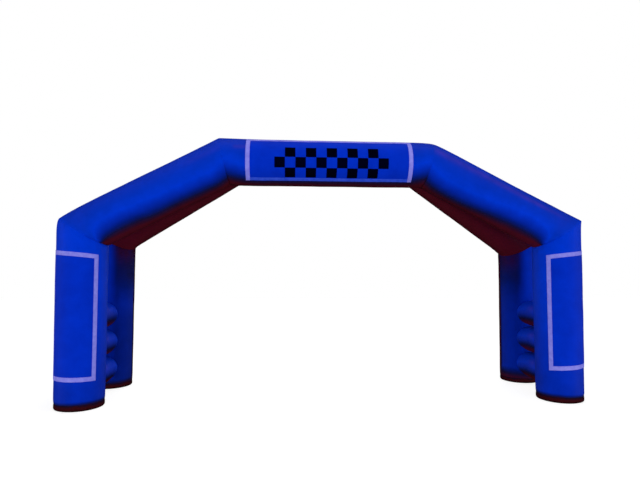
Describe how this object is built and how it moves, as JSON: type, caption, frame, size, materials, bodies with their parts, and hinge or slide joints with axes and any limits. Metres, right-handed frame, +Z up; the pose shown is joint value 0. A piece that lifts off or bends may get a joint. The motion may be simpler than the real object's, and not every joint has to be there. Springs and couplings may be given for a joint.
{
  "type": "inflatable arch",
  "caption": "Angular free-standing inflatable arch of round air tubes with braced double legs, wrapped banners on its crossbeam and front legs, and flat base bands.",
  "frame": {"origin": "on the ground, below the middle of the arch's outer box", "axes": "+Z up; -Y is the front, where the banners are; +X is to the right of someone facing the front"},
  "size_m": [6.0036, 1.5654, 2.983],
  "materials": {
    "blue_cloth": "coated blue nylon, sewn into air tubes, slightly shiny",
    "banner_cloth": "printed polyester banner cloth, deep blue, matt",
    "pale_tape": "pale lavender woven binding tape",
    "maroon_cloth": "heavy maroon base cloth, matt"
  },
  "bodies": {
    "root": {"beam_banner": "banner_cloth", "beam_tape_foot": "pale_tape", "beam_tape_head": "pale_tape", "beam_tape_high": "pale_tape", "beam_tape_low": "pale_tape", "crossbeam": "blue_cloth", "front_diagonal_left": "blue_cloth", "front_diagonal_right": "blue_cloth", "front_foot_left": "maroon_cloth", "front_foot_right": "maroon_cloth", "front_leg_left": "blue_cloth", "front_leg_right": "blue_cloth", "leg_banner_left": "banner_cloth", "leg_banner_right": "banner_cloth", "leg_tape_foot_left": "pale_tape", "leg_tape_foot_right": "pale_tape", "leg_tape_head_left": "pale_tape", "leg_tape_head_right": "pale_tape", "leg_tape_high_left": "pale_tape", "leg_tape_high_right": "pale_tape", "leg_tape_low_left": "pale_tape", "leg_tape_low_right": "pale_tape", "rear_foot_left": "maroon_cloth", "rear_foot_right": "maroon_cloth", "rear_leg_left": "blue_cloth", "rear_leg_right": "blue_cloth", "rear_strut_left": "blue_cloth", "rear_strut_right": "blue_cloth", "rung_1_left": "blue_cloth", "rung_1_right": "blue_cloth", "rung_2_left": "blue_cloth", "rung_2_right": "blue_cloth", "rung_3_left": "blue_cloth", "rung_3_right": "blue_cloth"}
  },
  "joints": []
}
